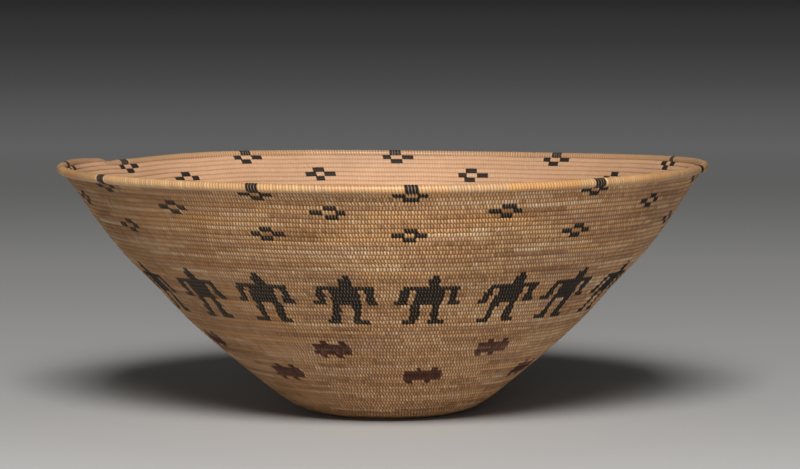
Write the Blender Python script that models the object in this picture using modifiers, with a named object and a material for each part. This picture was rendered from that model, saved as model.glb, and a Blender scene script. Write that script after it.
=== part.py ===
"""A coiled basket bowl whose last coil was never finished off, at rest on its flat base.

One bundle of grass stems runs in a spiral from the start knot to the rim. Strands of sedge root are sewn
round it, with black and red strands for the pattern. All lengths are in metres, +Z is up, and the origin
is the centre of the base. Azimuths are seen from above, from the front (-Y) towards the right (+X).
"""

import math

import bmesh
import bpy
from mathutils import Matrix, Vector

# Driving sizes of the bowl.
RIM_RADIUS = 0.240          # outside of the rim coil
RIM_HEIGHT = 0.1775         # top of the wall under the rim coil, halfway along its rise
BASE_RADIUS = 0.048         # flat part that the bowl rests on
WALL = 0.0046               # thickness of the coiled wall
COURSES = 78                # turns of the spiral under the rim coil
STITCH = 0.00225            # width of one sewn stitch
RIM_COIL_RADIUS = 0.0031    # the rim coil is fuller, because no later coil is sewn into it
RIM_INSET = 0.0015          # how far inside the wall's outer line the rim coil's middle lies
RIM_END_SHARE = 0.8         # thickness of the rim coil at its blunt end, and where it starts below that
RIM_START_LENGTH = 0.024    # length in which it reaches its full thickness
RIM_END_LENGTH = 0.045      # length in which the bundle thins towards its end
RIDGE = 0.0010              # height of each coil's ridge over the groove beside it
KNOT_RADIUS = 0.0045
KNOT_EDGE = 0.0012          # rounding of the knot's edge
BUNDLE_RADIUS = 0.0013      # the bare grass stems at the coil's end
STEM_DEPTH = 0.00025        # depth of the furrows between the stems
STEMS_AROUND = 7
STEMS_SHOWN = 0.006         # length of bare stems past the last stitch
RIM_SAG = 0.0022            # how far the rim sinks just past the coil's end
BASE_SHIFT = 0.0028         # the base lies this much to the right of the rim's middle
CLEARANCE = 0.0003          # between pieces that touch
SKIN = 0.0005               # thickness of the pattern stitches over the wall

COIL_END_AZIMUTH = math.radians(-113)  # the spiral climbs to the left and ends at the back left
SAG_AZIMUTH = math.radians(-121)
SAG_WIDTH = math.radians(15)
# The rim isn't level, because the bowl was shaped by hand: waves round the rim, height, crest's azimuth.
RIM_WAVES = (
    (1, 0.0018, math.radians(154)),
    (2, 0.0014, math.radians(74)),
    (3, 0.0006, math.radians(-30)),
)
STEPS = 32                             # straight pieces in one turn
RIM_STEPS = 2 * STEPS
KNOT_SIDES = 12
STEM_STEPS = 4                         # points round one stem of the bundle
SAME_PLACE = 1e-7                      # points of the seam nearer than this are one point

# The outer profile from the edge of the flat base to the rim: shares of the rim radius and rim height.
PROFILE_SHARES = (
    (0.267, 0.025),
    (0.321, 0.067),
    (0.386, 0.135),
    (0.504, 0.269),
    (0.613, 0.403),
    (0.705, 0.538),
    (0.802, 0.672),
    (0.880, 0.807),
    (0.946, 0.941),
    (0.981, 1.000),
)

UPPER_COURSES = 33          # courses of the upper wall, with the crosses and the figures
FLAT_ROWS = 3               # rings across the flat base

# Pattern charts. A block is: first course, courses, first stitch, stitches, from the chart's middle.
# The chart names the whole coils and stitches that each block is sewn over.
CROSS = ((0, 1, -2, 4), (1, 1, -6, 4.4), (1, 1, 1.6, 4.4), (2, 1, -2, 4))
FIGURE = (
    (0, 1, -1, 2),                              # top of the head
    (1, 2, -2, 4),                              # head and neck
    (3, 1, -9, 18),                             # shoulders
    (4, 4, -9, 2.5), (4, 4, 6.5, 2.5),          # arms
    (8, 1, -10, 3.5), (8, 1, 6.5, 3.5),         # hands
    (4, 5, -4.5, 9),                            # body
    (9, 3, -4.5, 2.5), (9, 3, 2, 2.5),          # legs
    (12, 1, -6.5, 4.5), (12, 1, 2, 4.5),        # feet
)
ANIMAL = (
    (0, 1, -3.5, 2), (0, 1, 3, 2),              # ears
    (1, 3, -6.5, 13),                           # body
    (4, 1, -4.5, 2), (4, 1, 1.5, 2),            # legs
)
# The crosses were spaced by eye, so each has its own azimuth, in degrees. The other rows are even.
UPPER_CROSSES = (-9, 22.5, 57.5, 92, 127, 162, 194, 225, 257, 288, 320)
LOWER_CROSSES = (5, 39, 74, 110, 144, 178, 209, 240, 272, 303.5, 338.5)
FIGURES = [-9.5 + 360 * place / 18 for place in range(18)]
UPPER_ANIMALS = [-15.5 + 360 * place / 7 for place in range(7)]
LOWER_ANIMALS = [12 + 360 * place / 7 for place in range(7)]

# Pattern rows: name, chart, first course, azimuths, material.
PATTERN_ROWS = (
    ("upper_cross", CROSS, 4, UPPER_CROSSES, "fern_black"),
    ("lower_cross", CROSS, 9, LOWER_CROSSES, "fern_black"),
    ("figure", FIGURE, 20, FIGURES, "fern_black"),
    ("upper_animal", ANIMAL, 38, UPPER_ANIMALS, "redbud_red"),
    ("lower_animal", ANIMAL, 46, LOWER_ANIMALS, "redbud_red"),
)

COLOURS = {
    "sedge_tan": ((0.42, 0.25, 0.12, 1), 0.62),
    "rim_gold": ((0.58, 0.37, 0.17, 1), 0.5),
    "grass_straw": ((0.60, 0.44, 0.22, 1), 0.7),
    "fern_black": ((0.018, 0.014, 0.011, 1), 0.55),
    "redbud_red": ((0.09, 0.028, 0.018, 1), 0.6),
}


def material(name):
    found = bpy.data.materials.get(name)
    if found:
        return found
    colour, roughness = COLOURS[name]
    made = bpy.data.materials.new(name)
    made.use_nodes = True
    made.diffuse_color = colour
    surface = made.node_tree.nodes["Principled BSDF"]
    surface.inputs["Base Color"].default_value = colour
    surface.inputs["Roughness"].default_value = roughness
    surface.inputs["Metallic"].default_value = 0
    return made


def smooth_curve(points, between):
    """Points along a Catmull-Rom curve through the given points."""
    ends = [2 * points[0] - points[1], *points, 2 * points[-1] - points[-2]]
    curve = []
    for a, b, c, d in zip(ends, ends[1:], ends[2:], ends[3:]):
        for step in range(between):
            t = step / between
            bend = (2 * a - 5 * b + 4 * c - d) * t**2
            turn = (3 * b - a - 3 * c + d) * t**3
            curve.append((2 * b + (c - a) * t + bend + turn) / 2)
    return [*curve, points[-1]]


class Profile:
    """The outside of the wall by slant distance from the centre of the base."""

    def __init__(self):
        wall = [Vector((BASE_RADIUS, 0))]
        wall += [Vector((r * RIM_RADIUS, z * RIM_HEIGHT)) for r, z in PROFILE_SHARES]
        self.points = [Vector((0, 0)), *smooth_curve(wall, 12)]
        self.slants = [0]
        for a, b in zip(self.points, self.points[1:]):
            self.slants.append(self.slants[-1] + (b - a).length)
        self.length = self.slants[-1]

    def at(self, slant):
        """(radius and height, direction up the wall) at a slant distance."""
        index = 1
        while index < len(self.slants) - 1 and self.slants[index] < slant:
            index += 1
        a, b = self.points[index - 1], self.points[index]
        share = (slant - self.slants[index - 1]) / (self.slants[index] - self.slants[index - 1])
        return a.lerp(b, share) if 0 <= share <= 1 else a + (b - a) * share, (b - a).normalized()


PROFILE = Profile()
PITCH = PROFILE.length / COURSES
# The base's own courses run on until the wall has begun to rise from the flat part.
BASE_COURSES = math.ceil((BASE_RADIUS + CLEARANCE) / PITCH + 0.5)


def risen(azimuth):
    """How far round its turn the spiral is at an azimuth, from 0 just past the coil's end to 1 at it."""
    return ((COIL_END_AZIMUTH - azimuth) / math.tau) % 1


def azimuth_at(share):
    """Azimuth at a share of a turn. The spiral climbs to the left, so the azimuth falls as it rises."""
    return COIL_END_AZIMUTH - share * math.tau


def rim_lift(azimuth):
    """How far the rim stands above level at an azimuth."""
    waves = sum(height * math.cos(count * (azimuth - crest)) for count, height, crest in RIM_WAVES)
    past = (azimuth - SAG_AZIMUTH + math.pi) % math.tau - math.pi
    return waves - RIM_SAG * math.exp(-((past / SAG_WIDTH) ** 2))


def wall_point(slant, azimuth, outward):
    """A point of the wall, with its uneven rim and shifted base, at a distance outward from the profile."""
    flat, along = PROFILE.at(slant)
    flat = flat + Vector((along.y, -along.x)) * outward
    climbed = max(0, slant - BASE_RADIUS) / (PROFILE.length - BASE_RADIUS)
    lift = rim_lift(azimuth) * climbed**2
    shift = BASE_SHIFT * (1 - climbed)
    return Vector((flat.x * math.sin(azimuth) + shift, -flat.x * math.cos(azimuth), flat.y + lift))


def course_slant(course, azimuth):
    """Slant distance of the upper edge of a course, counted down from the rim, at an azimuth."""
    return PROFILE.length + (risen(azimuth) - 0.5) * PITCH - (course - 1) * PITCH


def collection():
    made = bpy.data.collections.new("unfinished_basket_bowl")
    bpy.context.scene.collection.children.link(made)
    return made


def add_object(name, mesh, group, material_name):
    made = bpy.data.objects.new(name, mesh)
    group.objects.link(made)
    mesh.materials.append(material(material_name))
    return made


def finish_mesh(name, cage):
    bmesh.ops.recalc_face_normals(cage, faces=cage.faces)
    mesh = bpy.data.meshes.new(name)
    cage.to_mesh(mesh)
    cage.free()
    mesh.shade_smooth()
    mesh.set_sharp_from_angle(angle=math.radians(40))
    return mesh


class Sheet:
    """One side of a coiled band: rows of points that climb by one coil a turn, or lie level.

    Every point at the seam, where the spiral steps, is kept in seam by its slant distance, so that the
    faces on both sides of the seam use the same points.
    """

    def __init__(self, cage, rows, surface):
        self.cage, self.surface, self.rows = cage, surface, rows
        self.seam = {}
        for start, rise in rows:
            self.seam_point(start)
            self.seam_point(start + rise)
        self.points = [[self.row_point(row, step) for step in range(STEPS + 1)] for row in rows]

    def seam_point(self, slant):
        key = round(slant / SAME_PLACE)
        if key not in self.seam:
            self.seam[key] = self.cage.verts.new(self.surface(slant, COIL_END_AZIMUTH, 0))
        return self.seam[key]

    def row_point(self, row, step):
        start, rise = row
        slant = start + rise * step / STEPS
        if step in (0, STEPS):
            return self.seam_point(slant)
        share = step / STEPS
        return self.cage.verts.new(self.surface(slant, azimuth_at(share), share))

    def seam_run(self, low, high):
        """Seam points between two slant distances, from the low one to the high one."""
        low, high = round(low / SAME_PLACE), round(high / SAME_PLACE)
        return [self.seam[key] for key in sorted(self.seam) if low <= key <= high]

    def faces(self):
        for (low, upper), (below, above) in zip(
            zip(self.rows, self.rows[1:]), zip(self.points, self.points[1:])
        ):
            for step in range(STEPS):
                left, right = [below[step], above[step]], [below[step + 1], above[step + 1]]
                if step == 0:
                    left = self.seam_run(low[0], upper[0])
                if step == STEPS - 1:
                    right = self.seam_run(sum(low), sum(upper))
                self.cage.faces.new([*left[::-1], *right])

    def border(self, row):
        """The row's points round the band, and its seam points back down the step."""
        start, rise = self.rows[row]
        step = self.seam_run(start, start + rise) if rise else []
        return self.points[row], step


def join_border(cage, outer, inner):
    """Close the edge of a band between its outer and inner sheets, and the face of its step."""
    (outside, outer_step), (inside, inner_step) = outer, inner
    for step in range(STEPS):
        cage.faces.new([outside[step], inside[step], inside[step + 1], outside[step + 1]])
    if outer_step:
        cage.faces.new([*outer_step, *inner_step[::-1]])


def furrow(slant, share, base):
    """Depth of the surface below the coils' ridges: 0 on a ridge and RIDGE in the groove beside it."""
    phase = ((slant - base) / PITCH - share) % 1
    return RIDGE * abs(1 - 2 * phase)


def coil_band(name, first, last, group, flat_base=False):
    """A band of courses as one closed shell, ridged outside and inside along the spiral."""
    low = PROFILE.length - 0.5 * PITCH - last * PITCH
    high = PROFILE.length - 0.5 * PITCH - (first - 1) * PITCH - CLEARANCE
    cage = bmesh.new()
    rows = [(low + half * PITCH / 2, PITCH) for half in range(2 * (last - first + 1))]
    rows.append((high, PITCH))
    if flat_base:
        hole = KNOT_RADIUS + CLEARANCE
        rings = [(hole + (BASE_RADIUS - hole) * ring / FLAT_ROWS, 0) for ring in range(FLAT_ROWS + 1)]
        rows = [*rings, *[row for row in rows if row[0] > BASE_RADIUS]]

    def depth(slant, share):
        return 0 if flat_base and slant <= BASE_RADIUS else furrow(slant, share, low)

    def outside(slant, azimuth, share):
        return wall_point(slant, azimuth, -depth(slant, share))

    def inside(slant, azimuth, share):
        return wall_point(slant, azimuth, depth(slant, share) - WALL)

    outer, inner = Sheet(cage, rows, outside), Sheet(cage, rows, inside)
    outer.faces()
    inner.faces()
    join_border(cage, outer.border(0), inner.border(0))
    join_border(cage, outer.border(-1), inner.border(-1))
    return add_object(name, finish_mesh(name, cage), group, "sedge_tan")


def start_knot(group):
    """The small knot that the spiral starts from, in the middle of the base."""
    bpy.ops.mesh.primitive_cylinder_add(
        vertices=KNOT_SIDES, radius=KNOT_RADIUS, depth=WALL, location=(BASE_SHIFT, 0, WALL / 2)
    )
    knot = bpy.context.object
    knot.name = knot.data.name = "start_knot"
    for old in list(knot.users_collection):
        old.objects.unlink(knot)
    group.objects.link(knot)
    knot.data.materials.append(material("sedge_tan"))
    rounding = knot.modifiers.new("rounded_top", "BEVEL")
    rounding.width = KNOT_EDGE
    rounding.segments = 2
    knot.data.shade_smooth()


def rim_centre(share, radius):
    """Middle of the rim coil at a share of its turn, seated on the wall's rising edge."""
    slant = PROFILE.length + (share - 0.5) * PITCH + radius
    return wall_point(slant, azimuth_at(share), -RIM_INSET)


def rim_coil(group):
    """The last turn of the coil, a little thinner where it starts and where it was left off."""
    curve = bpy.data.curves.new("rim_coil", "CURVE")
    curve.dimensions = "3D"
    curve.bevel_depth = RIM_COIL_RADIUS
    curve.bevel_resolution = 1
    curve.use_fill_caps = True
    turn = math.tau * RIM_RADIUS
    starts = [CLEARANCE / turn, RIM_START_LENGTH / 2 / turn, RIM_START_LENGTH / turn]
    thinned = 1 - RIM_END_SHARE
    shares = starts + [step / RIM_STEPS for step in range(2, RIM_STEPS + 1)]
    spline = curve.splines.new("POLY")
    spline.points.add(len(shares) - 1)
    for point, share in zip(spline.points, shares):
        grown = min(1, share * turn / RIM_START_LENGTH, (1 - share) * turn / RIM_END_LENGTH)
        point.radius = 1 - thinned * (1 - grown)
        point.co = (*rim_centre(share, RIM_COIL_RADIUS * point.radius), 1)
    spline.use_smooth = True
    made = bpy.data.objects.new("rim_coil", curve)
    group.objects.link(made)
    curve.materials.append(material("rim_gold"))


def foundation_stems(group):
    """The grass stems of the foundation, bare where the last coil was left unfinished."""
    curve = bpy.data.curves.new("foundation_stems", "CURVE")
    curve.dimensions = "2D"
    curve.fill_mode = "BOTH"
    curve.extrude = STEMS_SHOWN / 2
    spline = curve.splines.new("POLY")
    around = STEMS_AROUND * STEM_STEPS
    spline.points.add(around - 1)
    spline.use_cyclic_u = True
    for step, point in enumerate(spline.points):
        angle = math.tau * step / around
        radius = BUNDLE_RADIUS - STEM_DEPTH * (1 - math.cos(STEMS_AROUND * angle)) / 2
        point.co = (radius * math.cos(angle), radius * math.sin(angle), 0, 1)
    made = bpy.data.objects.new("foundation_stems", curve)
    group.objects.link(made)
    curve.materials.append(material("grass_straw"))
    radius = RIM_COIL_RADIUS * RIM_END_SHARE
    end, before = rim_centre(1, radius), rim_centre(1 - 1 / RIM_STEPS, radius)
    along = (end - before).normalized()
    made.matrix_world = Matrix.Translation(
        end + along * (CLEARANCE + STEMS_SHOWN / 2)
    ) @ along.to_track_quat("Z", "Y").to_matrix().to_4x4()


def cells_of(chart):
    """The chart's blocks, each cut wherever a block that it touches has a side."""
    cells = []
    for top, courses, left, stitches in chart:
        bottom, right = top + courses, left + stitches
        cuts = {left, right}
        for other_top, other_courses, other_left, other_stitches in chart:
            if other_top <= bottom and other_top + other_courses >= top:
                cuts |= {x for x in (other_left, other_left + other_stitches) if left < x < right}
        cuts = sorted(cuts)
        cells += [(top, bottom, a, b) for a, b in zip(cuts, cuts[1:])]
    return cells


def outline_of(cell, corners):
    """A cell's outline, with every corner of another cell that lies on it."""
    top, bottom, left, right = cell
    upper = sorted(x for x, y in corners if y == top and left <= x <= right)
    lower = sorted(x for x, y in corners if y == bottom and left <= x <= right)
    near = sorted(y for x, y in corners if x == left and top < y < bottom)
    far = sorted(y for x, y in corners if x == right and top < y < bottom)
    points = [(x, bottom) for x in lower] + [(right, y) for y in reversed(far)]
    return points + [(x, top) for x in reversed(upper)] + [(left, y) for y in near]


def pattern_patch(name, chart, first, azimuth, colour, group):
    """The pattern stitches of one figure, as a thin skin over the coils that they are sewn round."""
    cage = bmesh.new()
    cells = cells_of(chart)
    corners = {(x, y) for top, bottom, left, right in cells for x in (left, right) for y in (top, bottom)}
    placed = {}
    for x, y in sorted(corners):
        slant = course_slant(first + y, azimuth)
        turned = x * STITCH / PROFILE.at(slant)[0].x
        slant -= turned / math.tau * PITCH
        placed[x, y] = cage.verts.new(wall_point(slant, azimuth + turned, CLEARANCE))
    for cell in cells:
        cage.faces.new([placed[corner] for corner in outline_of(cell, corners)])
    mesh = bpy.data.meshes.new(name)
    cage.to_mesh(mesh)
    cage.free()
    skin = add_object(name, mesh, group, colour).modifiers.new("thickness", "SOLIDIFY")
    skin.thickness = SKIN
    skin.offset = 1


def main():
    for old in list(bpy.data.objects):
        bpy.data.objects.remove(old, do_unlink=True)
    group = collection()
    start_knot(group)
    lower_courses = COURSES - BASE_COURSES
    coil_band("base_coil", lower_courses + 1, COURSES, group, flat_base=True)
    coil_band("lower_wall_coil", UPPER_COURSES + 1, lower_courses, group)
    coil_band("upper_wall_coil", 1, UPPER_COURSES, group)
    rim_coil(group)
    foundation_stems(group)
    for name, chart, first, azimuths, colour in PATTERN_ROWS:
        for number, azimuth in enumerate(azimuths, 1):
            pattern_patch(f"{name}_{number:02d}", chart, first, math.radians(azimuth), colour, group)


main()
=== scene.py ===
"""The unfinished basket bowl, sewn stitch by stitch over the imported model.

One coil of grass runs in a spiral from the knot in the base to the rim, and a strand is sewn round it about
thirty thousand times. Each stitch catches the coil of the turn below. The pattern is made of the stitches
that are sewn with a black or a red strand. All lengths are in metres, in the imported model's frame, and
azimuths are seen from above, from the front (-Y) towards the right (+X).
"""

import math
from collections import namedtuple

import bmesh
import bpy
import numpy as np
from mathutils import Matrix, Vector


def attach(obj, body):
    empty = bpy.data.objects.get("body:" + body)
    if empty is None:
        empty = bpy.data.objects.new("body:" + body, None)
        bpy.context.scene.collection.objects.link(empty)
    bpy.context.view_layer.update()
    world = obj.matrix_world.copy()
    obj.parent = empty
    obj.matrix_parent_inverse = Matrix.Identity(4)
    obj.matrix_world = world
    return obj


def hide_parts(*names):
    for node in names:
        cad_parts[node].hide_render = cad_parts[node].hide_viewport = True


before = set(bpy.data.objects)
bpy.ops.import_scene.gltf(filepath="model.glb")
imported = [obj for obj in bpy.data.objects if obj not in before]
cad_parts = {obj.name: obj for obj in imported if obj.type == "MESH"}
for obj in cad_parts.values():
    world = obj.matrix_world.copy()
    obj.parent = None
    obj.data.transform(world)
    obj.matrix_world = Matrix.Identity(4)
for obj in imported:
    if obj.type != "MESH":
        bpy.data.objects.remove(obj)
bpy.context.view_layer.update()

# Sizes of the bowl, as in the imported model's source.
RIM_RADIUS = 0.240          # outside of the rim coil
RIM_HEIGHT = 0.1775         # top of the wall under the rim coil, halfway along its rise
BASE_RADIUS = 0.048         # flat part that the bowl rests on
WALL = 0.0046               # thickness of the coiled wall
COURSES = 78                # turns of the spiral under the rim coil
STITCH = 0.00225            # width of one sewn stitch
RIM_COIL_RADIUS = 0.0031    # the rim coil is fuller, because no later coil is sewn into it
RIM_INSET = 0.0015          # how far inside the wall's outer line the rim coil's middle lies
RIM_END_SHARE = 0.8         # thickness of the rim coil at its blunt end, and where it starts below that
RIM_START_LENGTH = 0.024    # length in which it reaches its full thickness
RIM_END_LENGTH = 0.045      # length in which the bundle thins towards its end
KNOT_RADIUS = 0.0045
BASE_SHIFT = 0.0028         # the base lies this much to the right of the rim's middle
RIM_SAG = 0.0022            # how far the rim sinks just past the coil's end
COIL_END_AZIMUTH = math.radians(-113)  # the spiral climbs to the left and ends at the back left
SAG_AZIMUTH = math.radians(-121)
SAG_WIDTH = math.radians(15)
# The rim isn't level, because the bowl was shaped by hand: waves round the rim, height, crest's azimuth.
RIM_WAVES = (
    (1, 0.0018, math.radians(154)),
    (2, 0.0014, math.radians(74)),
    (3, 0.0006, math.radians(-30)),
)
# The outer profile from the edge of the flat base to the rim: shares of the rim radius and rim height.
PROFILE_SHARES = (
    (0.267, 0.025),
    (0.321, 0.067),
    (0.386, 0.135),
    (0.504, 0.269),
    (0.613, 0.403),
    (0.705, 0.538),
    (0.802, 0.672),
    (0.880, 0.807),
    (0.946, 0.941),
    (0.981, 1.000),
)
PROFILE_STEPS = 12          # points of the curve from one of these places to the next
PAST_WALL = 0.02            # how far the profile runs on straight past the wall's end, for the rim coil

# Bands of the wall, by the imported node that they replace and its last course.
BANDS = (
    ("upper_wall_coil", 33),
    ("lower_wall_coil", 65),
    ("base_coil", 78),
)

# Pattern charts. A block is: first course, courses, first stitch, stitches, from the chart's middle.
CROSS = ((0, 1, -2, 4), (1, 1, -6, 4), (1, 1, 1.6, 3.4), (2, 1, -2, 4))
FIGURE = (
    (0, 1, -0.5, 2),
    (1, 2, -1.5, 4),
    (3, 1, -9, 18),
    (4, 3, -9, 2.5), (4, 3, 6.5, 2.5),
    (7, 1, -10, 3.5), (7, 1, 6.5, 3.5),
    (4, 4, -4.5, 9),
    (8, 4, -4.5, 2.5), (8, 4, 2, 2.5),
    (12, 1, -6.5, 4.5), (12, 1, 2, 4.5),
)
ANIMAL = (
    (0, 1, -3.3, 1.8), (0, 1, 2.5, 1.8),
    (1, 3, -6, 12),
    (4, 1, -4.6, 2), (4, 1, 0.7, 2),
)
# Azimuths of the motifs in each row, in degrees. Those at the back go on at the spacing of the front.
RIM_CROSSES = (5, 39, 75, 110.5, 144.5, 178, 209, 240, 267, 304, 338.5)
UPPER_CROSSES = (-9, 22.5, 57.5, 92, 127, 162, 194, 225, 257, 288, 320)
LOWER_CROSSES = (5, 39, 74, 110, 144, 178, 209, 240, 272, 303.5, 338.5)
FIGURES = (
    -8.5, 10.6, 30.5, 48.6, 69, 89, 109.5, 130, 150.5,
    170.5, 190.5, 210.5, 231, 251, 271, 291, 312, 331.5,
)
UPPER_ANIMALS = (-16.1, 34.8, 86.5, 138, 189.5, 241, 292.5)
LOWER_ANIMALS = (14.3, 65, 116, 167, 218, 269, 320.6)
DRIFT = 0.09                # how far a motif moves to the left over one course, in stitches
# Rows: name, chart, first course, azimuths in degrees, colour.
ROWS = (
    ("rim_cross", CROSS, 0, RIM_CROSSES, "fern_black"),
    ("upper_cross", CROSS, 4, UPPER_CROSSES, "fern_black"),
    ("lower_cross", CROSS, 9, LOWER_CROSSES, "fern_black"),
    ("figure", FIGURE, 20, FIGURES, "fern_black"),
    ("upper_animal", ANIMAL, 38, UPPER_ANIMALS, "redbud_red"),
    ("lower_animal", ANIMAL, 46, LOWER_ANIMALS, "redbud_red"),
)

# The sewing.
COUNTED_PLACES = 40000      # places along the coil at which the stitches up to there are counted
JITTER = 0.07               # how far an edge between stitches is off its even place, in stitches
MOST_JITTER = 2.5           # the furthest that one is, in jitters
LEAN = 0.38                 # how far a stitch leans over one course outside, in stitches
INSIDE_LEAN = 0.3           # the same inside
SAMPLES = (0.0, 0.33, 0.67) # rings of points in one stitch, of which the first lies in the groove
SHINGLE = 0.12              # share by which a stitch lies lower on the side where the next one starts
STRAND = (9, 30)            # stitches sewn with one strand before the next one is taken up
MOST_STITCHES = 2800        # in one piece of the scene
LOOSE_SHARE = 0.025         # how unevenly the stitches of the wall are pulled tight
RIM_LOOSE_SHARE = 0.012     # the same on the rim coil
WANDER = 0.00018            # how far the coil strays up and down the wall
SWELL = 0.00012             # how far it swells and sinks
MOST_SWELL = 0.0004         # the furthest that a stitch stands out past the profile
UNEVEN_WAVES = 9            # waves that one smooth unevenness is made of
WAVES_AROUND = (2, 22)      # waves round the bowl in each of them
MOST_WAVE_CLIMB = 0.5       # the most that a wave shifts over one turn, in radians

# The strands' tones and hues, from 0 to 1: the middle, then how much each cause adds.
TONE_MIDDLE = 0.48
STRAND_TONE = 0.15          # from one strand to the next
STITCH_TONE = 0.11          # from one stitch to the next
SLOW_TONE = 0.08            # slowly over the wall
SLOW_STRETCH = 3            # that change is this many times longer round the bowl, and shorter up it
BASE_SHADE_TONE = 0.25            # painted shade: the base and the lowest courses are darker
BASE_SHADE_FROM = 46              # course where that starts
BASE_SHADE_OVER = 26              # courses in which it grows to the full
HUE_MIDDLE = 0.5
STRAND_HUE = 0.2
STITCH_HUE = 0.07

# Seeds of the random draws.
SEWING_SEED = 7
SLOW_SEED = 5
LOOSE_SEED = 11
RIM_LOOSE_SEED = 13
WANDER_SEED = 21
SWELL_SEED = 22
STEM_SEED = 31

# One ring of a wall stitch: height on the coil in courses, distance from the wall's middle in half
# thicknesses, the same two in the groove beside the stitch, and how much painted shade the stitch and
# the groove get there, for the creases between stitches and between courses.
WALL_RING = (
    (0.50, 0.58, 0.46, 0.46, 0.45, 0.85),
    (0.38, 0.82, 0.37, 0.64, 0.05, 1.00),
    (0.14, 0.98, 0.14, 0.80, 0.00, 1.00),
    (-0.13, 1.00, -0.14, 0.82, 0.00, 0.80),
    (-0.42, 0.90, -0.40, 0.74, 0.25, 0.70),
    (-0.76, 0.74, -0.60, 0.54, 0.45, 0.70),
    (-0.50, 0.05, -0.48, 0.04, 0.00, 0.05),
    (-0.48, -0.86, -0.46, -0.82, 0.00, 0.06),
    (-0.24, -0.97, -0.23, -0.93, 0.00, 0.06),
    (0.12, -0.99, 0.12, -0.95, 0.00, 0.06),
    (0.40, -0.93, 0.40, -0.89, 0.00, 0.06),
)
OUTSIDE_POINTS = 6          # the first points of a ring lie outside, and the rest inside
TIP_REACH = 0.24            # height on the turn below at which a stitch's tip ends, in courses
TIP_FROM = 0.15             # height on the coil below which the tip draws the stitch aside, in courses
TIP_SPAN = 0.9              # courses in which it draws it all the way

# One ring of a stitch on the rim coil: angle up from straight out, distance from the coil's middle in
# radii, distance in the groove, lean in stitches.
RIM_RING = (
    (102, 1.00, 0.93, -0.32),
    (78, 1.00, 0.93, -0.25),
    (54, 1.00, 0.92, -0.18),
    (30, 1.00, 0.91, -0.10),
    (6, 1.00, 0.91, -0.02),
    (-18, 1.00, 0.91, 0.06),
    (-42, 1.00, 0.90, 0.15),
    (-62, 1.10, 0.92, 0.26),
    (-74, 1.42, 1.00, 0.40),
    (-90, 1.00, 0.90, -0.20),
    (-122, 1.00, 0.92, -0.68),
    (-150, 1.00, 0.92, -0.58),
    (178, 1.00, 0.93, -0.48),
    (150, 1.00, 0.93, -0.42),
    (126, 1.00, 0.93, -0.37),
)
RIM_OUTSIDE_POINTS = 9
# Painted shade on the rim coil: none on a stitch, full in the groove beside it.
RIM_PAINTED_SHADE = (0.0, 1.0)   # of a stitch on the rim coil, and of the groove beside it

# The layout of the baked maps: the unrolled coil in lines one above the other, and the caps in a strip.
GIRTH = 0.0145              # length of a strand once round the coil
LINE_MARGIN = 0.02          # free share of a line under and over the coil
CAP_STRIP = 0.3             # height of the strip of caps, in lines
CAP_WIDTH = 0.4             # half of a cap's width, in its share of the strip
CAP_HEIGHT = 0.1            # half of a cap's height, in lines
FIBRE_LINES = 6             # units of the fibres' pattern once round the coil

# The bare stems at the coil's end.
# Rings of stems in the bundle: distance from its middle in radii, stems, the first one's place.
STEM_RINGS = ((0, 1, 0), (0.62, 5, 0), (1.0, 8, 0.5))
BUNDLE_RADIUS = 0.0017
STEM_RADIUS = 0.00048
STEM_TAPER = 0.12           # share by which a stem is thinner at its tip
STEM_HIDDEN = 0.004         # length of a stem inside the coil
STEM_BARE = (0.0035, 0.0085)    # least and greatest length past the last stitch
STEM_FAN = (-0.0004, 0.0006)    # how far a stem spreads outward over FAN_LENGTH
FAN_LENGTH = 0.006
STEM_DROOP = 0.00006        # how far a stem droops in its first DROOP_LENGTH, and then ever more
DROOP_LENGTH = 0.001
DROOP_POWER = 1.5
STEM_POINTS = 6
STEM_SIDES = 8
SHARP_EDGE = math.radians(50)

# The start knot. Rings of its upper side: share of the radius, height in half thicknesses of the wall.
KNOT_RINGS = ((0.0, 0.50), (0.10, 0.62), (0.30, 0.90), (0.60, 1.00), (0.85, 0.90), (1.0, 0.55))
KNOT_SPREAD = 1.06          # the wound strand's radius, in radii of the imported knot
KNOT_SIDES = 96
KNOT_WINDINGS = 12
KNOT_TWIST = 2.2            # how far the windings turn from the middle to the edge, in radians
KNOT_GROOVE = 0.1           # depth of the grooves between windings, as a share of the height
KNOT_TONE = 0.45
KNOT_HUE = 0.5
SAME_PLACE = 0.000002       # points of the knot nearer than this are one point

# The materials' patterns: scales of their noise, and depths of their bumps.
PATCH_SCALE = 11            # lighter and darker patches of the wall, some centimetres wide
FIBRE_SCALE = (9, 1.1, 1)   # finer across a strand than along it
STRAND_BUMP = 0.00006
STRAW_SCALE = (900, 900, 160)
STRAW_BUMP = 0.00008
GRAIN_SCALE = 300
GRAIN_BUMP = 0.0001
WITHIN_SHARE = 0.85         # how much of the inside's own colour shows there

# The floor.
FLOOR_RADIUS = 400
FLOOR_SIDES = 96
FLOOR_DROP = 0.0002         # below the surface that the bowl rests on
GREY_SCALE = 0.5            # turns powers of ten into the shares below, so that 1 is at about 100 m
# Greys of the floor, at shares of two powers of ten of the distance from the bowl's middle plus one metre:
# a pale floor, with a painted pool of light round the bowl that falls off to dark grey further out.
FLOOR_POOL_GREYS = (
    (0.0, 0.56), (0.05, 0.54), (0.11, 0.62), (0.20, 0.62),
    (0.30, 0.45), (0.42, 0.28), (0.60, 0.15), (1.0, 0.06),
)
# A painted glow that the camera sees past the bowl, in place of light on the background, at the same places.
FAR_GLOW_GREYS = (
    (0.09, 0.0), (0.14, 0.02), (0.22, 0.05), (0.30, 0.055), (0.37, 0.085),
    (0.42, 0.078), (0.51, 0.05), (0.65, 0.03), (0.92, 0.017),
)

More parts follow.
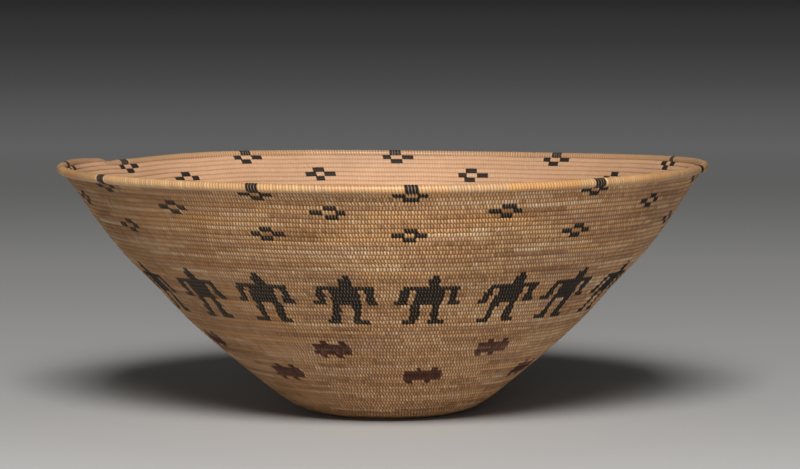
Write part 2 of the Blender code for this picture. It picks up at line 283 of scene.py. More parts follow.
# Lamps, all pointed at the bowl: name, place, width and height, watts, colour.
LAMPS = (
    ("key", (-0.02, -2.25, 1.88), (0.95, 0.95), 86, (1.0, 0.985, 0.96)),
    ("front", (-0.3, -3.0, 0.42), (0.8, 0.5), 11, (1, 1, 1)),
)
LAMP_TARGET = (0, 0, 0.1)
WORLD_LIGHT = 0.04
WORLD_SEEN = 0.02           # grey of the world where the camera sees it

# The camera.
CAMERA_PLACE = (0.0122, -2.6, 0.3130)
CAMERA_DOWN = math.radians(3.991)
CAMERA_ROLL = math.radians(0.022)
LENS_MM = 158.44
SENSOR_MM = 36

rng = np.random.default_rng(SEWING_SEED)


# The wall's shape


def profile():
    """(slant, place, tangent) of points along the outside of the wall, and the slant at the wall's end."""
    wall = [np.array([BASE_RADIUS, 0.0])]
    wall += [np.array([r * RIM_RADIUS, z * RIM_HEIGHT]) for r, z in PROFILE_SHARES]
    ends = [2 * wall[0] - wall[1], *wall, 2 * wall[-1] - wall[-2]]
    curve = [np.zeros(2)]
    for a, b, c, d in zip(ends, ends[1:], ends[2:], ends[3:]):
        for step in range(PROFILE_STEPS):
            t = step / PROFILE_STEPS
            bend = (2 * a - 5 * b + 4 * c - d) * t**2
            turn = (3 * b - a - 3 * c + d) * t**3
            curve.append((2 * b + (c - a) * t + bend + turn) / 2)
    curve.append(wall[-1])
    points = np.array(curve)
    steps = np.linalg.norm(np.diff(points, axis=0), axis=1)
    slants = np.concatenate([[0], np.cumsum(steps)])
    length = slants[-1]
    on = (points[-1] - points[-2]) / steps[-1]
    points = np.vstack([points, points[-1] + on * PAST_WALL])
    slants = np.append(slants, length + PAST_WALL)
    tangents = np.gradient(points, slants, axis=0)
    tangents /= np.linalg.norm(tangents, axis=1)[:, None]
    return slants, points, tangents, length


SLANTS, OUTLINE, TANGENTS, LENGTH = profile()
PITCH = LENGTH / COURSES


def rim_lift(azimuth):
    """How far the rim lies above its mean height."""
    waves = sum(height * np.cos(count * (azimuth - crest)) for count, height, crest in RIM_WAVES)
    past = (azimuth - SAG_AZIMUTH + math.pi) % math.tau - math.pi
    return waves - RIM_SAG * np.exp(-((past / SAG_WIDTH) ** 2))


def on_profile(slant):
    """Radius of the outer profile."""
    return np.interp(slant, SLANTS, OUTLINE[:, 0])


def wall_points(slant, azimuth, outward):
    """Points of the wall at a distance outward from its outer profile."""
    tangent_r = np.interp(slant, SLANTS, TANGENTS[:, 0])
    tangent_z = np.interp(slant, SLANTS, TANGENTS[:, 1])
    radius = on_profile(slant) + tangent_z * outward
    height = np.interp(slant, SLANTS, OUTLINE[:, 1]) - tangent_r * outward
    climbed = np.clip((slant - BASE_RADIUS) / (LENGTH - BASE_RADIUS), 0, None)
    return np.stack(
        [
            radius * np.sin(azimuth) + BASE_SHIFT * (1 - climbed),
            -radius * np.cos(azimuth),
            height + rim_lift(azimuth) * climbed**2,
        ],
        axis=-1,
    )


# Places along the coil are in turns inward from its end. The first turn is the rim coil.


def coil_radius(turn):
    """Radius of the rim coil, a little thinner where it starts and where it was left off."""
    length = math.tau * RIM_RADIUS
    grown = np.minimum((1 - turn) * length / RIM_START_LENGTH, turn * length / RIM_END_LENGTH)
    return RIM_COIL_RADIUS * (1 - (1 - RIM_END_SHARE) * (1 - np.clip(grown, 0, 1)))


def coil_slant(turn):
    """Slant distance of the coil's middle."""
    wall = LENGTH - (turn - 1) * PITCH
    rim = LENGTH + (0.5 - turn) * PITCH + coil_radius(turn)
    return np.where(turn < 1, rim, wall)


def sewn():
    """The edges of all stitches, in turns, from the knot out to the coil's end."""
    turns = np.linspace(1 + (LENGTH - KNOT_RADIUS - PITCH / 2) / PITCH, 0, COUNTED_PLACES)
    radius = on_profile(coil_slant(turns))
    steps = math.tau * (radius[1:] + radius[:-1]) / 2 * -np.diff(turns) / STITCH
    count = np.concatenate([[0], np.cumsum(steps)])
    places = np.arange(int(count[-1]))
    places = places + JITTER * np.clip(rng.standard_normal(len(places)), -MOST_JITTER, MOST_JITTER)
    places[0] = 0
    return np.append(np.interp(places, count, turns), 0)


EDGES = sewn()
MIDDLES = (EDGES[1:] + EDGES[:-1]) / 2
COUNT = len(MIDDLES)


def width_in_turns(turn):
    """Width of one stitch, in turns."""
    return STITCH / (math.tau * np.maximum(on_profile(coil_slant(turn)), KNOT_RADIUS))


def tip_leans():
    """How far each stitch's tip lies beside its middle, in stitches, so that it meets a groove below."""
    width = width_in_turns(MIDDLES)
    plain = MIDDLES + (0.5 + TIP_REACH) * LEAN * width
    grooves = (EDGES - 1 - TIP_REACH * LEAN * width_in_turns(EDGES))[::-1]
    after = np.clip(np.searchsorted(grooves, plain), 1, len(grooves) - 1)
    before = grooves[after - 1]
    near = np.where(plain - before < grooves[after] - plain, before, grooves[after])
    leans = (near - MIDDLES) / width
    return np.where(np.abs(near - plain) < width, leans, (0.5 + TIP_REACH) * LEAN)


def uneven(turn, azimuth, seed):
    """A smooth field over the wall from about -1 to 1, for what isn't quite even in hand work."""
    chance = np.random.default_rng(seed)
    total = 0
    for _ in range(UNEVEN_WAVES):
        around = chance.integers(*WAVES_AROUND)
        climb = chance.uniform(-MOST_WAVE_CLIMB, MOST_WAVE_CLIMB)
        total = total + np.sin(around * azimuth + climb * turn + chance.uniform(0, math.tau))
    return total / math.sqrt(UNEVEN_WAVES)


# Which strand each stitch is sewn with


def pattern_owner():
    """For each stitch the number of its pattern motif, or -1, and the motifs' names, rows and colours."""
    owner = np.full(COUNT, -1)
    motifs = []
    radius = on_profile(coil_slant(MIDDLES))
    for name, chart, first, azimuths, colour in ROWS:
        for number, degrees in enumerate(azimuths, 1):
            share = ((COIL_END_AZIMUTH - math.radians(degrees)) / math.tau) % 1
            course = np.round(MIDDLES - 1 + share)
            across = (MIDDLES - 1 + share - course) * math.tau * radius / STITCH
            row = course - first
            across = across + DRIFT * row
            for top, courses, left, stitches in chart:
                inside = (row >= top) & (row < top + courses) & (across >= left) & (across < left + stitches)
                owner[inside] = len(motifs)
            motifs.append((f"{name}_{number:02d}", name, colour))
    return owner, motifs


OWNER, MOTIFS = pattern_owner()


def strands():
    """A tone and a hue for each stitch. Stitches sewn with one strand are alike."""
    tone, hue = np.empty(COUNT), np.empty(COUNT)
    at = 0
    while at < COUNT:
        end = min(COUNT, at + int(rng.integers(*STRAND)))
        tone[at:end] = rng.normal(0, 1)
        hue[at:end] = rng.normal(0, 1)
        at = end
    azimuth = COIL_END_AZIMUTH + math.tau * MIDDLES
    slow = uneven(MIDDLES * SLOW_STRETCH, azimuth / SLOW_STRETCH, SLOW_SEED)
    tone = TONE_MIDDLE + STRAND_TONE * tone + STITCH_TONE * rng.standard_normal(COUNT) + SLOW_TONE * slow
    # Painted shade: the lowest courses and the base are darker.
    tone = tone - BASE_SHADE_TONE * np.clip((MIDDLES - BASE_SHADE_FROM) / BASE_SHADE_OVER, 0, 1)
    hue = HUE_MIDDLE + STRAND_HUE * hue + STITCH_HUE * rng.standard_normal(COUNT)
    return np.clip(tone, 0, 1), np.clip(hue, 0, 1)


TONE, HUE = strands()
TIP_LEANS = tip_leans()


# Rings of points round the coil, from the stitch with the number first on

Rings = namedtuple("Rings", "first points stitch groove darkness outside_points")


def sampled(first, last):
    """(turn, stitch, whether it is a groove) of each ring of points from one stitch to another."""
    stitches = np.arange(first, last)
    turn = EDGES[stitches][:, None] + (EDGES[stitches + 1] - EDGES[stitches])[:, None] * np.array(SAMPLES)
    turn = np.append(turn.ravel(), EDGES[last])
    stitch = np.append(np.repeat(stitches, len(SAMPLES)), last - 1)
    groove = np.zeros(len(turn), bool)
    groove[:: len(SAMPLES)] = True
    return turn, stitch, groove


def wall_rings(first, last):
    """Rings of points of the stitches of the wall."""
    turn, stitch, groove = sampled(first, last)
    ring = np.array(WALL_RING)
    up = np.where(groove[:, None], ring[:, 2], ring[:, 0])
    out = np.where(groove[:, None], ring[:, 3], ring[:, 1])
    late = np.arange(len(turn)) % len(SAMPLES) == len(SAMPLES) - 1
    out[late, :OUTSIDE_POINTS] *= 1 - SHINGLE
    azimuth = COIL_END_AZIMUTH + math.tau * turn
    # Each stitch is pulled a little tighter or looser than the next.
    loose = np.random.default_rng(LOOSE_SEED).normal(1, LOOSE_SHARE, COUNT)[stitch]
    slant = coil_slant(turn) + WANDER * uneven(turn, azimuth, WANDER_SEED)
    swell = SWELL * uneven(turn, azimuth, SWELL_SEED)
    slant = slant[:, None] + up * PITCH
    outward = -WALL / 2 + out * loose[:, None] * WALL / 2 + swell[:, None]
    outward = np.minimum(outward, MOST_SWELL)
    # The base rests flat on the floor.
    flat = coil_slant(turn) < BASE_RADIUS + PITCH
    outward[flat] = np.minimum(outward[flat], 0)
    radius = np.maximum(on_profile(coil_slant(turn)), KNOT_RADIUS)
    # A stitch leans on the outside, and its tip is drawn aside to a groove of the turn below.
    plain_tip = (0.5 + TIP_REACH) * LEAN
    before = np.where(groove, np.maximum(stitch - 1, 0), stitch)
    drawn = (TIP_LEANS[stitch] + TIP_LEANS[before]) / 2 - plain_tip
    outside = np.arange(len(ring)) < OUTSIDE_POINTS
    lean = np.where(outside, -up * LEAN, (up - 0.5) * INSIDE_LEAN - 0.5 * LEAN)
    lean = lean + drawn[:, None] * np.where(outside, np.clip((TIP_FROM - up) / TIP_SPAN, 0, 1), 0)
    leaned = azimuth[:, None] + lean * STITCH / radius[:, None]
    return Rings(first, wall_points(slant, leaned, outward), stitch, groove, ring[:, 4:], OUTSIDE_POINTS)


def rim_rings(first, last):
    """Rings of points of the stitches of the rim coil."""
    turn, stitch, groove = sampled(first, last)
    ring = np.array(RIM_RING)
    angle = np.radians(ring[:, 0])
    far = np.where(groove[:, None], ring[:, 2], ring[:, 1])
    loose = np.random.default_rng(RIM_LOOSE_SEED).normal(1, RIM_LOOSE_SHARE, COUNT)[stitch]
    radius = (coil_radius(turn) * loose)[:, None] * far
    azimuth = COIL_END_AZIMUTH + math.tau * turn
    slant = coil_slant(turn)[:, None] + radius * np.sin(angle)
    outward = -RIM_INSET + radius * np.cos(angle)
    leaned = azimuth[:, None] + ring[:, 3] * STITCH / RIM_RADIUS
    # Painted shade in the grooves between the rim's stitches.
    darkness = np.tile(RIM_PAINTED_SHADE, (len(ring), 1))
    return Rings(first, wall_points(slant, leaned, outward), stitch, groove, darkness, RIM_OUTSIDE_POINTS)


# Materials


class Nodes:
    """Short ways to add nodes to a material."""

    def __init__(self, name):
        self.material = bpy.data.materials.new(name)
        self.material.use_nodes = True
        self.tree = self.material.node_tree
        self.shader = self.tree.nodes["Principled BSDF"]

    def add(self, kind, **settings):
        node = self.tree.nodes.new(kind)
        for key, value in settings.items():
            setattr(node, key, value)
        return node

    def link(self, source, target):
        self.tree.links.new(source, target)

    def attribute(self, name):
        return self.add("ShaderNodeAttribute", attribute_name=name).outputs["Fac"]

    def position(self):
        return self.add("ShaderNodeTexCoord").outputs["Object"]

    def fibre(self):
        return self.add("ShaderNodeUVMap", uv_map="Fibre").outputs["UV"]

    def scaled(self, vector, scale):
        node = self.add("ShaderNodeMapping")
        self.link(vector, node.inputs["Vector"])
        node.inputs["Scale"].default_value = scale
        return node.outputs["Vector"]

    def noise(self, vector, scale, detail=2.0, roughness=0.5):
        node = self.add("ShaderNodeTexNoise")
        self.link(vector, node.inputs["Vector"])
        node.inputs["Scale"].default_value = scale
        node.inputs["Detail"].default_value = detail
        node.inputs["Roughness"].default_value = roughness
        return node.outputs["Fac"]

    def ramp(self, factor, *stops):
        node = self.add("ShaderNodeValToRGB")
        self.link(factor, node.inputs["Fac"])
        elements = node.color_ramp.elements
        while len(elements) < len(stops):
            elements.new(0.5)
        for element, (place, colour) in zip(elements, stops):
            element.position = place
            element.color = (*colour, 1)
        return node.outputs["Color"]

    def greys(self, factor, stops):
        return self.ramp(factor, *[(place, (grey, grey, grey)) for place, grey in stops])

    def spread(self, factor, low, high, to_low, to_high):
        node = self.add("ShaderNodeMapRange")
        self.link(factor, node.inputs["Value"])
        for key, value in zip(("From Min", "From Max", "To Min", "To Max"), (low, high, to_low, to_high)):
            node.inputs[key].default_value = value
        return node.outputs["Result"]

    def mix(self, factor, a, b, blend="MIX"):
        node = self.add("ShaderNodeMix", data_type="RGBA", blend_type=blend)
        # The mix node has a set of sockets for each data type. These are the colour ones.
        for value, socket in zip((factor, a, b), (node.inputs[0], node.inputs[6], node.inputs[7])):
            if isinstance(value, (int, float)):
                socket.default_value = value
            elif isinstance(value, tuple):
                socket.default_value = (*value, 1)
            else:
                self.link(value, socket)
        return node.outputs[2]

    def math(self, operation, a, b):
        node = self.add("ShaderNodeMath", operation=operation)
        for value, socket in zip((a, b), node.inputs):
            if isinstance(value, (int, float)):
                socket.default_value = value
            else:
                self.link(value, socket)
        return node.outputs["Value"]

    def finish(self, colour, roughness, height, depth, specular):
        """The shader's inputs, with bumps as deep as depth where the height is 1."""
        self.link(colour, self.shader.inputs["Base Color"])
        self.link(roughness, self.shader.inputs["Roughness"])
        self.shader.inputs["Specular IOR Level"].default_value = specular
        bump = self.add("ShaderNodeBump")
        bump.inputs["Strength"].default_value = 1.0
        bump.inputs["Distance"].default_value = depth
        self.link(height, bump.inputs["Height"])
        self.link(bump.outputs["Normal"], self.shader.inputs["Normal"])
        return self.material


def strand_material(
    name, dark, middle, light, warm, cool, within, groove_shade_colour, groove_shade_depth, groove_shade_sharpness, roughness, specular
):
    """Split strands: one tone to each strand, fibres along it, and the groove colour in the grooves between
    stitches and courses, which is painted shade for all but the black strands.
    """
    n = Nodes(name)
    colour = n.ramp(n.attribute("tone"), (0.05, dark), (0.5, middle), (0.95, light))
    colour = n.mix(n.spread(n.attribute("hue"), 0.55, 1.0, 0.0, 0.8), colour, warm)
    colour = n.mix(n.spread(n.attribute("hue"), 0.40, 0.0, 0.0, 0.8), colour, cool)
    colour = n.mix(n.math("MULTIPLY", n.attribute("inside"), WITHIN_SHARE), colour, within)
    patches = n.spread(n.noise(n.position(), PATCH_SCALE, 3.0, 0.6), 0.35, 0.68, 0.90, 1.08)
    colour = n.mix(1.0, colour, patches, "MULTIPLY")
    fibres = n.noise(n.scaled(n.fibre(), FIBRE_SCALE), 1.0, 3.0, 0.6)
    colour = n.mix(1.0, colour, n.spread(fibres, 0.3, 0.7, 0.90, 1.08), "MULTIPLY")
    # Painted shade in the grooves between stitches and between courses; for the black strands, the tan
    # behind them.
    deep = n.math("MULTIPLY", n.math("POWER", n.attribute("groove_shade"), groove_shade_sharpness), groove_shade_depth)
    colour = n.mix(deep, colour, groove_shade_colour)
    rough = n.spread(fibres, 0.3, 0.7, roughness - 0.08, roughness + 0.1)
    return n.finish(colour, rough, fibres, STRAND_BUMP, specular)


def straw_material():
    """Dry grass stems, with fine lines along them."""
    n = Nodes("grass_straw")
    lines = n.noise(n.scaled(n.position(), STRAW_SCALE), 1.0, 3.0, 0.6)
    colour = n.ramp(lines, (0.3, (0.40, 0.27, 0.12)), (0.55, (0.62, 0.45, 0.22)), (0.8, (0.76, 0.60, 0.34)))
    rough = n.spread(lines, 0.3, 0.7, 0.55, 0.75)
    return n.finish(colour, rough, lines, STRAW_BUMP, 0.4)


# Each material, by its slot in the record.
MATERIALS = {
    "sedge_tan": strand_material(
        "sedge_tan",
        dark=(0.34, 0.165, 0.066),
        middle=(0.66, 0.372, 0.170),
        light=(0.90, 0.63, 0.38),
        warm=(0.76, 0.40, 0.158),
        cool=(0.47, 0.260, 0.155),
        within=(0.72, 0.44, 0.270),
        # Painted shade in the grooves.
        groove_shade_colour=(0.105, 0.042, 0.013),
        groove_shade_depth=0.92,
        groove_shade_sharpness=0.62,
        roughness=0.48,
        specular=0.25,
    ),
    "rim_gold": strand_material(
        "rim_gold",
        dark=(0.52, 0.28, 0.125),
        middle=(0.68, 0.40, 0.185),
        light=(0.86, 0.58, 0.30),
        warm=(0.72, 0.36, 0.13),
        cool=(0.58, 0.35, 0.19),
        within=(0.64, 0.39, 0.22),
        # Painted shade in the grooves.
        groove_shade_colour=(0.20, 0.085, 0.028),
        groove_shade_depth=0.66,
        groove_shade_sharpness=1.0,
        roughness=0.34,
        specular=0.5,
    ),
    "fern_black": strand_material(
        "fern_black",
        dark=(0.008, 0.006, 0.005),
        middle=(0.012, 0.008, 0.005),
        light=(0.026, 0.020, 0.016),
        warm=(0.022, 0.013, 0.009),
        cool=(0.012, 0.010, 0.010),
        within=(0.040, 0.030, 0.025),
        # Instead of painted shade, the tan strands behind show between the black stitches.
        groove_shade_colour=(0.50, 0.36, 0.24),
        groove_shade_depth=0.85,
        groove_shade_sharpness=4.5,
        roughness=0.48,
        specular=0.14,
    ),
    "redbud_red": strand_material(
        "redbud_red",
        dark=(0.034, 0.010, 0.006),
        middle=(0.105, 0.036, 0.022),
        light=(0.320, 0.165, 0.105),
        warm=(0.125, 0.040, 0.022),
        cool=(0.070, 0.028, 0.024),
        within=(0.130, 0.055, 0.036),
        # Painted shade in the grooves.
        groove_shade_colour=(0.022, 0.008, 0.005),
        groove_shade_depth=0.85,
        groove_shade_sharpness=0.9,
        roughness=0.5,
        specular=0.14,
    ),
    "grass_straw": straw_material(),
}


# Meshes


def add_piece(name, mesh, slot, nodes):
    """A piece of the one body, of the slot's material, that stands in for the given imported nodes."""
    mesh.materials.append(MATERIALS[slot])
    piece = bpy.data.objects.new(name, mesh)
    bpy.context.scene.collection.objects.link(piece)
    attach(piece, "root")
    if nodes:
        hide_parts(*nodes)


def store(mesh, label, values):
    """A value at each point of a mesh, for its material."""
    data = mesh.attributes.new(label, "FLOAT", "POINT").data
    data.foreach_set("value", values.astype(np.float32).ravel())


def map_corners(mesh, label, quads, caps):
    """A UV map, from the places of the corners of the four-sided faces and then of the caps."""
    places = np.concatenate([quads.reshape(-1, 2), caps.reshape(-1, 2)])
    mesh.uv_layers.new(name=label).data.foreach_set("uv", places.astype(np.float32).ravel())


def runs_of(stitches):
    """(first, past last) of each run of stitches that follow each other."""
    cuts = np.flatnonzero(np.diff(stitches) > 1) + 1
    return [(int(part[0]), int(part[-1]) + 1) for part in np.split(stitches, cuts)]


def skin(name, points, followed, starts):
    """A mesh over rings of points, closed where one run of rings ends and the next one starts."""
    around = points.shape[1]
    side = np.arange(around)
    after = (side + 1) % around
    base = np.flatnonzero(followed)[:, None] * around
    quads = np.stack([base + side, base + around + side, base + around + after, base + after], axis=-1)
    quads = quads.reshape(-1, 4)
    caps = []
    for begin, end in zip(starts, starts[1:]):
        caps.append(begin * around + side)
        caps.append((end - 1) * around + side[::-1])
    caps = np.array(caps)
    corners = np.concatenate([quads.ravel(), caps.ravel()])
    face_starts = np.concatenate([np.arange(len(quads)) * 4, quads.size + np.arange(len(caps)) * around])
    mesh = bpy.data.meshes.new(name)
    mesh.vertices.add(points.size // 3)
    mesh.vertices.foreach_set("co", points.astype(np.float32).ravel())
    mesh.loops.add(len(corners))
    mesh.loops.foreach_set("vertex_index", corners.astype(np.int32))
    mesh.polygons.add(len(face_starts))
    mesh.polygons.foreach_set("loop_start", face_starts.astype(np.int32))
    mesh.update(calc_edges=True)
    mesh.shade_smooth()
    return mesh


def unrolled(followed, around):
    """How far along and how far round the coil each corner of the faces lies, and the coil's length."""
    along = np.concatenate([[0], np.cumsum(np.where(followed, STITCH / len(SAMPLES), 0))[:-1]])
    row = np.flatnonzero(followed)
    corner_along = np.stack([along[row], along[row + 1]], axis=-1)[:, [0, 1, 1, 0]]
    corner_along = np.repeat(corner_along[:, None, :], around, axis=1).reshape(-1, 4)
    share = np.arange(around + 1) / around
    corner_round = np.stack([share[:-1], share[:-1], share[1:], share[1:]], axis=-1)
    corner_round = np.tile(corner_round, (len(row), 1))
    return corner_along, corner_round, along[-1] + STITCH


def map_piece(mesh, followed, around, caps):
    """The maps for the strands' fibres and for baking. The caps hold no fibres."""
    corner_along, corner_round, length = unrolled(followed, around)
    fibres = np.stack([corner_along / STITCH, corner_round * FIBRE_LINES], axis=-1)
    map_corners(mesh, "Fibre", fibres, np.zeros((caps, around, 2)))
    lines = max(1, round(math.sqrt(length / GIRTH)))
    line_length = length / lines
    # A little is added, so that a face that starts on a new line isn't rounded to the line before.
    line = np.minimum((corner_along[:, :1] + 1e-6) // line_length, lines - 1)
    across = (corner_along - line * line_length) / (line_length + STITCH)
    height = (line + LINE_MARGIN + (1 - 2 * LINE_MARGIN) * corner_round) / (lines + CAP_STRIP)
    cell, angle = np.meshgrid(np.arange(caps), math.tau * np.arange(around) / around, indexing="ij")
    cap_across = (cell + 0.5 + CAP_WIDTH * np.cos(angle)) / caps
    cap_height = (lines + CAP_STRIP / 2 + CAP_HEIGHT * np.sin(angle)) / (lines + CAP_STRIP)
    baked = np.stack([across, height], axis=-1)
    map_corners(mesh, "OFBake", baked, np.stack([cap_across, cap_height], axis=-1))


def sewn_piece(name, stitches, rings, slot, nodes):
    """A piece of the given stitches, each run of them closed at both ends."""
    around = rings.points.shape[1]
    runs = [
        np.arange((begin - rings.first) * len(SAMPLES), (end - rings.first) * len(SAMPLES) + 1)
        for begin, end in runs_of(stitches)
    ]
    starts = np.concatenate([[0], np.cumsum([len(run) for run in runs])])
    index = np.concatenate(runs)
    followed = np.ones(len(index), bool)
    followed[starts[1:] - 1] = False
    mesh = skin(name, rings.points[index], followed, starts)
    stitch = rings.stitch[index]
    values = {
        "tone": TONE[stitch][:, None],
        "hue": HUE[stitch][:, None],
        # Painted shade at each point, most in the grooves.
        "groove_shade": np.where(rings.groove[index][:, None], rings.darkness[:, 1], rings.darkness[:, 0]),
        "inside": np.arange(around) >= rings.outside_points,
    }
    for label, value in values.items():
        store(mesh, label, np.broadcast_to(value, (len(index), around)))
    map_piece(mesh, followed, around, 2 * len(runs))
    add_piece(name, mesh, slot, nodes)


# The sewn pieces


def sew_all():
    """The bands of the wall, the rim coil and the motifs."""
    rim_first = int(np.searchsorted(-EDGES, -1.0))
    # The stitch that crosses into the rim coil's turn belongs to the wall.
    on_wall = np.arange(COUNT) < rim_first
    wall = wall_rings(0, rim_first)
    rim = rim_rings(rim_first, COUNT)
    plain = OWNER < 0
    course = np.ceil(MIDDLES).astype(int) - 1
    before = 0
    for node, last in BANDS:
        chosen = np.flatnonzero(on_wall & plain & (course > before) & (course <= last))
        parts = np.array_split(chosen, math.ceil(len(chosen) / MOST_STITCHES))
        for number, part in enumerate(parts, 1):
            sewn_piece(f"{node}_stitches_{number}", part, wall, "sedge_tan", [node])
        before = last
    sewn_piece("rim_coil_stitches", np.flatnonzero(~on_wall & plain), rim, "rim_gold", ["rim_coil"])
    for number, (name, row, colour) in enumerate(MOTIFS):
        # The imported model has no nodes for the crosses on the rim.
        nodes = [] if row == "rim_cross" else [name]
        low = np.flatnonzero(on_wall & (OWNER == number))
        high = np.flatnonzero(~on_wall & (OWNER == number))
        if len(low):
            sewn_piece(f"{name}_stitches", low, wall, colour, nodes)
        if len(high):
            sewn_piece(f"{name}_rim_stitches", high, rim, colour, [])


# The bare stems at the coil's end, and the knot that the coil starts from


def tube(path, radii, first):
    """Points and faces of a closed tube along a path. The number of its first point is first."""
    path = np.array(path)
    along = np.gradient(path, axis=0)
    along /= np.linalg.norm(along, axis=1)[:, None]
    upright = np.array([0.0, 0.0, 1.0])
    points, faces = [], []
    for middle, direction, radius in zip(path, along, radii):
        across = np.cross(direction, upright)
        across /= np.linalg.norm(across)
        upward = np.cross(across, direction)
        for side in range(STEM_SIDES):
            angle = math.tau * side / STEM_SIDES
            points.append(middle + radius * (math.cos(angle) * across + math.sin(angle) * upward))
    last = first + (len(path) - 1) * STEM_SIDES
    for ring in range(first, last, STEM_SIDES):
        for side in range(STEM_SIDES):
            a = ring + side
            b = ring + (side + 1) % STEM_SIDES
            faces.append((a, a + STEM_SIDES, b + STEM_SIDES, b))
    faces.append(tuple(range(first, first + STEM_SIDES)))
    faces.append(tuple(reversed(range(last, last + STEM_SIDES))))
    return points, faces


def stem(far, angle, bare, fan):
    """Path and radii of one stem, at its place in the bundle."""
    path, radii = [], []
    for step in range(STEM_POINTS):
        past = -STEM_HIDDEN + (STEM_HIDDEN + bare) * step / (STEM_POINTS - 1)
        opened = BUNDLE_RADIUS * far + fan * max(0, past) / FAN_LENGTH
        slant = coil_slant(0.0) + past / (math.tau * RIM_RADIUS) * PITCH + opened * math.sin(angle)
        droop = STEM_DROOP * (max(0, past) / DROOP_LENGTH) ** DROOP_POWER
        azimuth = COIL_END_AZIMUTH - past / RIM_RADIUS
        path.append(wall_points(slant - droop, azimuth, -RIM_INSET + opened * math.cos(angle)))
        radii.append(STEM_RADIUS * (1 - STEM_TAPER * step / (STEM_POINTS - 1)))
    return path, radii


def stems():
    """Grass stems of the foundation, cut off at unlike lengths past the last stitch."""
    chance = np.random.default_rng(STEM_SEED)
    points, faces = [], []
    for far, count, start in STEM_RINGS:
        for number in range(count):
            bare = chance.uniform(*STEM_BARE)
            fan = chance.uniform(*STEM_FAN)
            path, radii = stem(far, math.tau * (number + start) / count, bare, fan)
            more_points, more_faces = tube(path, radii, len(points))
            points += more_points
            faces += more_faces
    mesh = bpy.data.meshes.new("foundation_stems_bare")
    mesh.from_pydata([tuple(point) for point in points], [], faces)
    mesh.shade_smooth()
    mesh.set_sharp_from_angle(angle=SHARP_EDGE)
    add_piece("foundation_stems_bare", mesh, "grass_straw", ["foundation_stems"])


def knot():
    """The start knot: a strand wound round the first tight ring of stems, with a dimple in the middle."""
    rows = [*KNOT_RINGS, *[(share, -height) for share, height in reversed(KNOT_RINGS)]]
    points, faces = [], []
    for share, height in rows:
        radius = KNOT_RADIUS * KNOT_SPREAD * share
        for side in range(KNOT_SIDES):
            angle = math.tau * side / KNOT_SIDES
            twisted = angle * KNOT_WINDINGS + KNOT_TWIST * share
            # The innermost points are one point, and have no groove.
            groove = KNOT_GROOVE * (0.5 - 0.5 * math.cos(twisted)) ** 3 if share else 0
            across = BASE_SHIFT + radius * math.sin(angle)
            up = WALL / 2 + height * (1 - groove) * WALL / 2
            points.append((across, -radius * math.cos(angle), up))
    for row in range(len(rows) - 1):
        for side in range(KNOT_SIDES):
            a = row * KNOT_SIDES + side
            b = row * KNOT_SIDES + (side + 1) % KNOT_SIDES
            faces.append((a, b, b + KNOT_SIDES, a + KNOT_SIDES))
    mesh = bpy.data.meshes.new("start_knot_wound")
    mesh.from_pydata(points, [], faces)
    cage = bmesh.new()
    cage.from_mesh(mesh)
    bmesh.ops.remove_doubles(cage, verts=cage.verts, dist=SAME_PLACE)
    bmesh.ops.recalc_face_normals(cage, faces=cage.faces)
    cage.to_mesh(mesh)
    cage.free()
    mesh.shade_smooth()
    store(mesh, "tone", np.full(len(mesh.vertices), KNOT_TONE))
    store(mesh, "hue", np.full(len(mesh.vertices), KNOT_HUE))
    add_piece("start_knot_wound", mesh, "sedge_tan", ["start_knot"])


# Floor, lights and camera


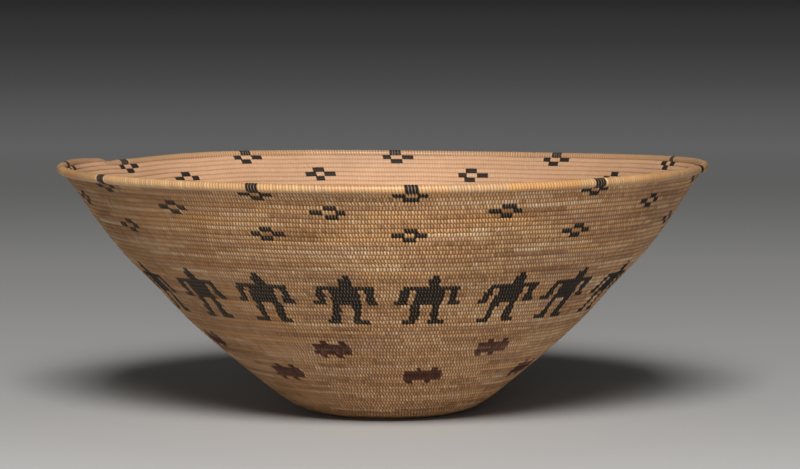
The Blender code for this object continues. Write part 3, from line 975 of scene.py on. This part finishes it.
def floor():
    """A pale floor with a painted pool of light that falls off to a dark grey further from the bowl."""
    bpy.ops.mesh.primitive_circle_add(
        vertices=FLOOR_SIDES, radius=FLOOR_RADIUS, fill_type="NGON", location=(0, 0, -FLOOR_DROP)
    )
    disc = bpy.context.object
    disc.name = "floor"
    n = Nodes("floor_lit_pool")
    length = n.add("ShaderNodeVectorMath", operation="LENGTH")
    n.link(n.position(), length.inputs[0])
    powers = n.math("LOGARITHM", n.math("ADD", length.outputs["Value"], 1.0), 10.0)
    far = n.math("MULTIPLY", powers, GREY_SCALE)
    grain = n.noise(n.position(), GRAIN_SCALE)
    rough = n.spread(grain, 0.0, 1.0, 0.75, 0.85)
    n.finish(n.greys(far, FLOOR_POOL_GREYS), rough, grain, GRAIN_BUMP, 0.2)
    # Only the camera sees this painted glow of the background, so it lights nothing.
    n.link(n.greys(far, FAR_GLOW_GREYS), n.shader.inputs["Emission Color"])
    n.link(n.add("ShaderNodeLightPath").outputs["Is Camera Ray"], n.shader.inputs["Emission Strength"])
    disc.data.materials.append(n.material)


def lamps():
    """Area lamps, which the camera doesn't see."""
    for name, location, size, power, colour in LAMPS:
        data = bpy.data.lights.new(name, "AREA")
        data.shape = "RECTANGLE"
        data.size, data.size_y = size
        data.energy = power
        data.color = colour
        lamp = bpy.data.objects.new(name, data)
        bpy.context.scene.collection.objects.link(lamp)
        lamp.location = location
        lamp.visible_camera = False
        lamp.rotation_euler = (Vector(LAMP_TARGET) - Vector(location)).to_track_quat("-Z", "Y").to_euler()


def surroundings():
    """A weak even light, and a dark grey where the camera sees past the floor."""
    world = bpy.data.worlds.new("studio")
    bpy.context.scene.world = world
    world.use_nodes = True
    nodes, links = world.node_tree.nodes, world.node_tree.links
    soft = nodes["Background"]
    soft.inputs["Color"].default_value = (1, 1, 1, 1)
    soft.inputs["Strength"].default_value = WORLD_LIGHT
    seen = nodes.new("ShaderNodeBackground")
    seen.inputs["Color"].default_value = (WORLD_SEEN, WORLD_SEEN, WORLD_SEEN, 1)
    path = nodes.new("ShaderNodeLightPath")
    mix = nodes.new("ShaderNodeMixShader")
    links.new(path.outputs["Is Camera Ray"], mix.inputs["Fac"])
    links.new(soft.outputs["Background"], mix.inputs[1])
    links.new(seen.outputs["Background"], mix.inputs[2])
    links.new(mix.outputs["Shader"], nodes["World Output"].inputs["Surface"])


def camera():
    """The camera where the photograph was taken from, by its perspective."""
    data = bpy.data.cameras.new("camera")
    data.sensor_width = SENSOR_MM
    data.lens = LENS_MM
    made = bpy.data.objects.new("camera", data)
    bpy.context.scene.collection.objects.link(made)
    made.location = CAMERA_PLACE
    made.rotation_euler = (math.pi / 2 - CAMERA_DOWN, CAMERA_ROLL, 0)
    bpy.context.scene.camera = made


sew_all()
stems()
knot()
floor()
lamps()
surroundings()
camera()
bpy.context.scene.view_settings.view_transform = "Standard"
